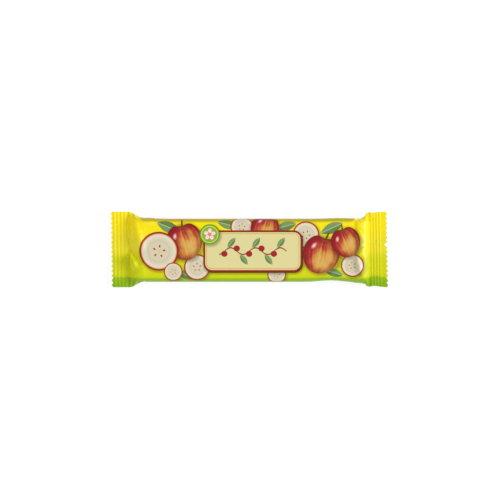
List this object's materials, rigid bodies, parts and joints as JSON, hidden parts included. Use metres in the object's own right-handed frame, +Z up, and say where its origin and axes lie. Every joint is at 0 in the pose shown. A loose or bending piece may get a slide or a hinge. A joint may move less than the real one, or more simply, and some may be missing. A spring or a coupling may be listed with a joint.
{
  "type": "wrapped apple fruit bar",
  "caption": "Long flat fruit bar sealed in a printed flow-wrap film, with crimped zigzag end seals and a back fin.",
  "frame": {"origin": "under the middle of the pack, on the surface that it lies on", "axes": "+X along the bar, towards the seal on the right as seen from the front; +Y across it, away from the green edge; +Z up, out of the printed front"},
  "size_m": [0.1576, 0.0427, 0.0108],
  "materials": {
    "printed_film": "glossy reverse-printed polypropylene film, yellow with a green edge"
  },
  "bodies": {
    "root": {"wrapper": "printed_film"}
  },
  "joints": []
}
